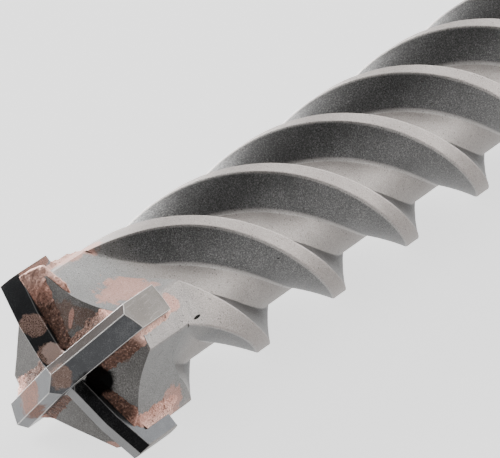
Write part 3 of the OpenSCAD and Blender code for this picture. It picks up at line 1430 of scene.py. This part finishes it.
    def radius(self) -> Signal:
        """Distance from the bit's axis in millimetres."""
        across, up = (self.axis(name).math("POWER", 2.0) for name in "YZ")
        return (across + up).math("SQRT")

    def bump(self, height: Signal, strength: float, distance: float) -> bpy.types.NodeSocket:
        """Normal that follows a height.

        Args:
            height: The height, about 0 to 1.
            strength: Share of the effect.
            distance: Height of one unit in millimetres.

        Returns:
            The bumped normal.
        """
        inputs = {"Height": height, "Strength": strength, "Distance": distance * MM}
        return self.node("ShaderNodeBump", {}, inputs).outputs[0]


def rgb(red: float, green: float, blue: float) -> Colour:
    """Opaque colour from three linear values."""
    return (red, green, blue, 1.0)


@dataclass(frozen=True)
class Stain:
    """Stained place, by its distance behind the tip, Y, Z and half sizes in millimetres."""

    behind: float
    y: float
    z: float
    reach: Triple
    ragged: float = 1.2
    soft: float = 0.8


# Painted shadow: near-black patch in the deep inner corner between two arms, used by all three
# materials.
CORNER_SHADOW = Stain(3.6, 3.7, -0.1, (2.8, 2.5, 2.2), 0.7, 0.8)


@dataclass(frozen=True)
class ForgedSteel:
    """Shot-blasted forged steel with rubbed lands, copper stains, painted shade and painted
    highlights.
    """

    # Flute floor colour, lighter than the lands: partly its own tone, partly painted light against
    # the shade in the flute's hollow.
    core: Colour = rgb(0.185, 0.168, 0.156)
    # Painted shade: darker colour for the flanks that look towards the tip.
    flank: Colour = rgb(0.062, 0.062, 0.062)
    land: Colour = rgb(0.168, 0.146, 0.134)
    head: Colour = rgb(0.120, 0.119, 0.116)
    # Painted shade: darker colour for the head's faces that look towards the tip.
    front: Colour = rgb(0.070, 0.067, 0.064)
    # Painted shade: darker colour for the flanks that look back towards the shank.
    shaded: Colour = rgb(0.050, 0.049, 0.048)
    # Pale colour for the painted highlights along the lands' front edges and the flute floor's
    # edge, and for the grain's light specks.
    edge: Colour = rgb(0.36, 0.35, 0.34)
    soot: Colour = rgb(0.035, 0.03, 0.028)
    black: Colour = rgb(0.003, 0.003, 0.003)
    pink: Colour = rgb(0.26, 0.135, 0.105)
    brown: Colour = rgb(0.075, 0.042, 0.03)
    bare: Colour = rgb(0.6, 0.58, 0.56)
    # Radii of the flank's foot: below it the painted highlight along the flute floor's edge, above
    # it the flanks' painted shade.
    foot_band: tuple[float, float] = (7.0, 7.35)
    land_band: tuple[float, float] = (10.45, 10.72)
    # Radii of the painted highlight along the lands' front edges.
    corner_band: tuple[float, float] = (10.5, 10.66)
    head_band: tuple[float, float] = (BIT.total - 19.0, BIT.total - 13.0)
    copper_stains: tuple[Stain, ...] = (
        Stain(10.5, 3.5, 8.4, (4.0, 2.9, 2.2), 1.9),
        Stain(12.4, 8.3, 6.8, (1.5, 1.2, 1.3)),
        Stain(11.6, -5.0, 9.3, (2.6, 1.4, 1.5), 0.9),
        Stain(14.6, -4.8, 9.5, (2.6, 1.7, 1.3), 0.9),
        Stain(11.8, 8.2, -5.6, (2.4, 1.6, 2.1)),
        Stain(4.6, 0.1, 6.3, (1.2, 0.35, 1.3)),
        Stain(5.9, 3.9, -9.6, (0.9, 0.9, 0.7)),
        Stain(12.5, -7.6, -7.4, (1.6, 1.6, 1.6)),
    )
    brown_stains: tuple[Stain, ...] = (
        Stain(4.4, -1.0, 6.2, (1.6, 1.9, 2.2)),
        Stain(4.6, 1.8, 6.8, (1.6, 2.2, 1.2)),
        Stain(4.4, 6.6, 3.4, (1.4, 2.4, 1.1)),
    )
    # Near-black spots: painted shadows in the inner corners and along a land's edge, and a dark
    # hairline on a flank.
    shadow_and_line_spots: tuple[Stain, ...] = (
        CORNER_SHADOW,
        Stain(3.8, -0.1, 3.7, (1.0, 0.8, 0.9), 0.8),
        Stain(15.4, 9.84, 4.16, (0.7, 0.2, 0.2), 0.2),
        Stain(33.0, 9.13, 3.85, (2.2, 0.1, 0.1), 0.1),
    )

    def make(self) -> bpy.types.Material:
        """Builds the material.

        Returns:
            The material.
        """
        tree = Graph.of_material("forged_steel")
        cloud = tree.noise(5.0, 4.0, 0.6)
        grain = tree.noise(0.15, 2.0, 0.8)
        fine = tree.noise(0.07, 2.0, 0.7)
        radius = tree.radius()
        forward = tree.facing("X")
        above_foot = radius.ramp(*self.foot_band)
        outside = radius.ramp(*self.land_band)
        behind_head = 1 - tree.axis("X").ramp(*self.head_band)
        # Mask of the forward-looking flanks, which get the painted shade.
        ahead = forward.ramp(0.12, 0.42) * above_foot
        # Mask of the backward-looking flanks, which get the painted shade.
        trailing = (-forward).ramp(0.25, 0.5) * behind_head
        # Painted highlight along the lands' front edges, ragged with the grain.
        corner = radius.ramp(*self.corner_band) * forward.ramp(0.12, 0.3) * grain.ramp(0.3, 0.5)
        # Painted highlight along the flute floor's edge, where it meets a forward-looking flank.
        foot = forward.ramp(0.06, 0.25) * (1 - above_foot) * behind_head
        specks = tree.noise(0.19, 2.0, 0.7).ramp(0.46, 0.66) * ahead * behind_head
        pits = (1 - tree.grains(0.5).ramp(0.10, 0.26)) * tree.noise(1.3).ramp(0.42, 0.6)
        shade = (grain - 0.5) * 2.4 + (fine - 0.5) * 1.2 + (cloud - 0.5) * 0.5
        dark = tree.patches(self.shadow_and_line_spots)
        speckle = tree.mix(grain.ramp(0.25, 0.42), self.brown, self.pink)
        colour = tree.layers(
            self.core,
            # Painted shade on the forward-looking flanks.
            (ahead * behind_head, self.flank),
            # Painted shade on the backward-looking flanks.
            (trailing, self.shaded),
            # Painted highlight along the lands' front edges.
            (corner * 0.75, self.edge),
            # Painted highlight along the flute floor's edge.
            (foot * 0.5, self.edge),
            (specks * (0.08 + cloud * 0.26), self.edge),
            # Head colour, with painted shade on its forward-looking faces.
            (1 - behind_head, tree.mix(forward.ramp(0.7, 0.9), self.head, self.front)),
            (outside * (0.55 + 0.9 * (cloud - 0.5)), self.land),
            (tree.patches(self.brown_stains) * 0.75, self.brown),
            (tree.patches(self.copper_stains) * 0.9, speckle),
            (-shade, self.soot),
            (shade * 0.32, self.bare),
            (pits * 0.7, self.soot),
            # Near-black painted shadows and the hairline, laid over everything.
            (dark * 0.98, self.black),
        )
        height = grain * 0.6 + fine * 0.35 - pits * 0.5 + cloud * 0.3
        return tree.shade(
            {
                "Base Color": colour,
                "Roughness": (0.40 + grain * 0.22 + dark * 0.3).clamp(),
                "Metallic": 0.85 + dark * 0.15,
                "Normal": tree.bump(height, 0.7, 0.06),
            }
        )


@dataclass(frozen=True)
class HardMetal:
    """Ground tungsten carbide with burnt-on copper, painted shade on some facets and painted
    highlights on its rounded edges.
    """

    face: Colour = rgb(0.068, 0.07, 0.074)
    rim: Colour = rgb(0.078, 0.069, 0.061)
    scratch: Colour = rgb(0.17, 0.155, 0.14)
    pink: Colour = rgb(0.20, 0.082, 0.052)
    brown: Colour = rgb(0.07, 0.045, 0.036)
    tan: Colour = rgb(0.13, 0.085, 0.068)
    pale: Colour = rgb(0.60, 0.39, 0.32)
    bright: Colour = rgb(0.85, 0.62, 0.54)
    # Near-black colour for the painted shade on facets chosen by the way they face.
    black: Colour = rgb(0.012, 0.012, 0.013)
    smear: Colour = rgb(0.034, 0.027, 0.024)
    # Colour of the painted shadow in the inner corner between the arms.
    corner_shadow: Colour = rgb(0.004, 0.004, 0.004)
    dark_grain: Colour = rgb(0.02, 0.02, 0.022)
    pale_grain: Colour = rgb(0.5, 0.5, 0.5)
    # Pale colour of the painted highlight on the rounded edges.
    edge_highlight: Colour = rgb(0.85, 0.82, 0.79)
    rim_band: tuple[float, float] = (12.3, 12.46)
    scratch_squeeze: Triple = (0.6, 4.0, 4.0)
    # Directions of the facets that get painted shade.
    black_shade_side: Triple = (0.703, 0.572, 0.423)
    slate_shade_side: Triple = (0.857, 0.505, -0.101)
    grey_shade_side: Triple = (0.886, -0.219, -0.407)
    dark_shade_side: Triple = (0.886, 0.219, 0.407)
    smeared_side: Triple = (0.688, -0.325, 0.649)
    pink_stains: tuple[Stain, ...] = (
        Stain(2.8, -5.2, -3.8, (2.8, 3.0, 3.7), 0.9),
        Stain(7.5, -7.3, 10.0, (3.0, 1.3, 1.2)),
    )
    pale_stains: tuple[Stain, ...] = (
        Stain(2.4, -1.6, 2.3, (1.2, 1.6, 1.3), 1.2),
        Stain(2.9, -4.3, 5.1, (1.4, 1.9, 1.25), 1.3),
    )
    bright_stains: tuple[Stain, ...] = (Stain(2.6, -1.1, 2.4, (1.2, 1.6, 1.4), 1.1),)
    brown_stains: tuple[Stain, ...] = (Stain(0.7, 1.15, 0.9, (1.5, 1.3, 1.9), 1.2),)

    def make(self) -> bpy.types.Material:
        """Builds the material.

        Returns:
            The material.
        """
        tree = Graph.of_material("hard_metal")
        fine = tree.noise(0.12, 3.0, 0.7)
        cloud = tree.noise(2.2, 3.0, 0.6)
        outside = tree.radius().ramp(*self.rim_band)
        stretched = tree.vector_math("MULTIPLY", tree.place, self.scratch_squeeze).outputs["Vector"]
        lines = tree.noise(0.9, 3.0, 0.65, stretched).ramp(0.56, 0.68)
        dull = tree.turned_to(self.smeared_side)
        crust = tree.patches(self.pink_stains)
        speckle = tree.mix(fine.ramp(0.42, 0.6), self.brown, self.pink)
        mottled = tree.mix(fine.ramp(0.38, 0.55), self.brown, self.pale)
        tanned = tree.mix(fine.ramp(0.42, 0.62), self.brown, self.tan)
        # Rounded edges, which get a painted highlight, stronger on the long arms.
        edge_highlight = tree.value("ShaderNodeAttribute", {"attribute_name": EDGE_MARK}, {}, "Fac")
        long_arms = (tree.axis("Y") * tree.axis("Z")).ramp(-1.0, 2.0)
        shade = (fine - 0.5) * 0.9 + (cloud - 0.5) * 0.5
        colour = tree.layers(
            self.face,
            (outside * 0.9, self.rim),
            (outside * lines * 0.35, self.scratch),
            # Painted shade on the facets that look in these four directions.
            (tree.turned_to(self.dark_shade_side) * 0.5, self.black),
            (tree.turned_to(self.slate_shade_side) * 0.6, self.black),
            (tree.turned_to(self.grey_shade_side) * 0.75, self.black),
            (tree.turned_to(self.black_shade_side), self.black),
            (dull * (0.55 + cloud * 0.8).clamp(), self.smear),
            (crust * 0.9, speckle),
            (tree.patches(self.pale_stains) * 0.85, mottled),
            (tree.patches(self.bright_stains) * 0.9, self.bright),
            (tree.patches(self.brown_stains) * 0.85, tanned),
            # Painted shadow in the inner corner.
            (tree.patch(CORNER_SHADOW) * 0.95, self.corner_shadow),
            # Painted highlight on the rounded edges.
            (edge_highlight * (0.12 + long_arms * 0.3), self.edge_highlight),
            (-shade, self.dark_grain),
            (shade * 0.35, self.pale_grain),
        )
        rough = 0.24 + fine * 0.16 + outside * 0.12 + dull * 0.5 + crust * 0.3 + edge_highlight * 0.25
        return tree.shade(
            {
                "Base Color": colour,
                "Roughness": rough.clamp(),
                "Metallic": 0.92,
                "Normal": tree.bump(fine + lines * outside * 0.5, 0.35, 0.03),
            }
        )


@dataclass(frozen=True)
class BrazeCopper:
    """Dull, grainy copper, burnt brown near the axis, paler towards the rim, partly as painted
    light, with a painted shadow in the inner corner.
    """

    pink: Colour = rgb(0.28, 0.14, 0.105)
    # Paler copper for the rim, partly painted light, and for the grain's light specks.
    pale: Colour = rgb(0.42, 0.26, 0.21)
    brown: Colour = rgb(0.07, 0.033, 0.022)
    soot: Colour = rgb(0.014, 0.009, 0.008)
    # Colour of the painted shadow in the inner corner between the arms.
    corner_shadow: Colour = rgb(0.003, 0.003, 0.003)
    burnt: Stain = Stain(4.6, 7.6, 4.4, (2.4, 3.0, 1.9))

    def make(self) -> bpy.types.Material:
        """Builds the material.

        Returns:
            The material.
        """
        tree = Graph.of_material("braze_copper")
        grain = tree.noise(0.26, 3.0, 0.7)
        cloud = tree.noise(1.6, 2.0)
        radius = tree.radius()
        outer = (radius + (cloud - 0.5) * 3.0).ramp(7.8, 9.8)
        # Share of the painted shadow in the inner corner.
        corner_shadow = tree.patch(CORNER_SHADOW)
        colour = tree.layers(
            self.brown,
            (outer * (1 - tree.patch(self.burnt)), self.pink),
            # Paler towards the rim: partly smoother copper, partly painted light where the lamps
            # leave the rim dark.
            (radius.ramp(9.6, 11.0) * 0.8, self.pale),
            (grain.ramp(0.52, 0.7) * (0.35 + 0.5 * outer), self.pale),
            ((1 - grain.ramp(0.34, 0.5)) * (0.9 - 0.45 * outer), self.soot),
            (corner_shadow * 0.97, self.corner_shadow),
        )
        return tree.shade(
            {
                "Base Color": colour,
                "Roughness": 0.55 + corner_shadow * 0.35,
                "Metallic": 0.7 + corner_shadow * 0.3,
                "Normal": tree.bump(grain, 0.9, 0.16),
            }
        )


def dress(piece: bpy.types.Object, material: bpy.types.Material) -> None:
    """Gives a piece one material."""
    piece.data.materials.clear()
    piece.data.materials.append(material)


@dataclass(frozen=True)
class Glow:
    """Soft bright area of the surrounding, by its direction and the cosines of its edges."""

    direction: Triple
    strength: float
    outer: float = 0.82
    inner: float = 0.99


@dataclass(frozen=True)
class Studio:
    """Pale floor, soft lights and the camera."""

    eye_from_tip: Triple = (378.84, 303.4, 255.0)
    camera_back: Triple = (0.7278, 0.5270, 0.4388)
    camera_up: Triple = (-0.3846, -0.2161, 0.8974)
    lens: float = 347.7
    floor_size: float = 6.0
    floor_front: tuple[float, float] = (322.0, 450.0)
    floor_side: tuple[float, float] = (40.0, 170.0)
    floor_grey: Colour = rgb(0.15, 0.15, 0.15)
    floor_white: Colour = rgb(1.0, 1.0, 1.0)
    floor_dim: Colour = rgb(0.4, 0.4, 0.4)
    floor_glow: float = 1.7
    world_glow: float = 40.0
    dark: float = 0.001
    glows: tuple[Glow, ...] = (
        Glow((-0.11, -0.95, 0.29), 0.915),
        Glow((-0.75, 0.66, -0.04), 0.352),
        Glow((-0.94, 0.02, 0.34), 0.306),
        Glow((0.41, -0.61, 0.68), 0.035),
        Glow((-0.53, -0.06, 0.84), 0.070),
        Glow((0.40, -0.29, 0.87), 0.018),
        Glow((0.60, 0.80, 0.01), 0.012),
        Glow((0.33, 0.10, 0.94), 0.010),
    )

    def camera(self, tip: float) -> None:
        """Places the camera that gives the photograph's view.

        Args:
            tip: Distance of the tip from the struck end in metres.
        """
        data = bpy.data.cameras.new("camera")
        data.sensor_width = 36.0
        data.lens = self.lens
        data.clip_start, data.clip_end = 0.01, 20.0
        item = bpy.data.objects.new("camera", data)
        bpy.context.collection.objects.link(item)
        back = Vector(self.camera_back).normalized()
        right = Vector(self.camera_up).cross(back).normalized()
        matrix = Matrix((right, back.cross(right), back)).transposed().to_4x4()
        matrix.translation = Vector(self.eye_from_tip) * MM + Vector((tip, 0, 0))
        item.matrix_world = matrix
        bpy.context.scene.camera = item

    def floor(self, height: float) -> None:
        """Lays the pale floor under the bit, darker beside it and in front of the tip.

        Args:
            height: Height of the floor in metres.
        """
        size = self.floor_size
        mesh = bpy.data.meshes.new("floor")
        corners = [(-size, -size), (size, -size), (size, size), (-size, size)]
        mesh.from_pydata([(x, y, height) for x, y in corners], [], [[0, 1, 2, 3]])
        item = bpy.data.objects.new("floor", mesh)
        bpy.context.collection.objects.link(item)
        tree = Graph.of_material("pale_floor")
        ahead = tree.axis("X").ramp(*self.floor_front)
        away = ahead.math("MAXIMUM", tree.axis("Y").ramp(*self.floor_side))
        inputs = {
            "Base Color": self.floor_grey,
            "Emission Color": tree.mix(away, self.floor_white, self.floor_dim),
            "Emission Strength": self.floor_glow,
            "Roughness": 1.0,
            "Specular IOR Level": 0.0,
        }
        dress(item, tree.shade(inputs))

    def world(self) -> None:
        """Sets a surrounding that is bright behind the shank and dark in front of the tip."""
        tree = Graph.of_world("surrounding")
        light: Signal | float = self.dark
        for glow in self.glows:
            share = tree.cosine(tree.place, glow.direction).ramp(glow.outer, glow.inner)
            light = share * glow.strength + light
        background = tree.nodes["Background"]
        tree.feed(background.inputs["Color"], tree.mix(light, rgb(0, 0, 0), rgb(1, 1, 1)))
        background.inputs["Strength"].default_value = self.world_glow
        bpy.context.scene.world = tree.owner

    def build(self, tip: float, ground: float) -> None:
        """Sets up everything round the bit.

        Args:
            tip: Distance of the tip from the struck end in metres.
            ground: Height of the floor in metres.
        """
        self.world()
        self.floor(ground)
        self.camera(tip)


def main() -> None:
    """Builds the bit and its studio in order."""
    logging.basicConfig(level=logging.INFO, format="%(name)s: %(message)s")
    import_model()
    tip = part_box("cutting_cross")[1].x
    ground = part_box("steel_body")[0].z
    parts = ((SteelBody(), ForgedSteel()), (CuttingCross(), HardMetal()), (Braze(), BrazeCopper()))
    for maker, finish in parts:
        piece = maker.build()
        dress(piece, finish.make())
        LOG.info("%s: %d faces", piece.name, len(piece.data.polygons))
    Studio().build(tip, ground)
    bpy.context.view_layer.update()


if __name__ == "__main__":
    main()
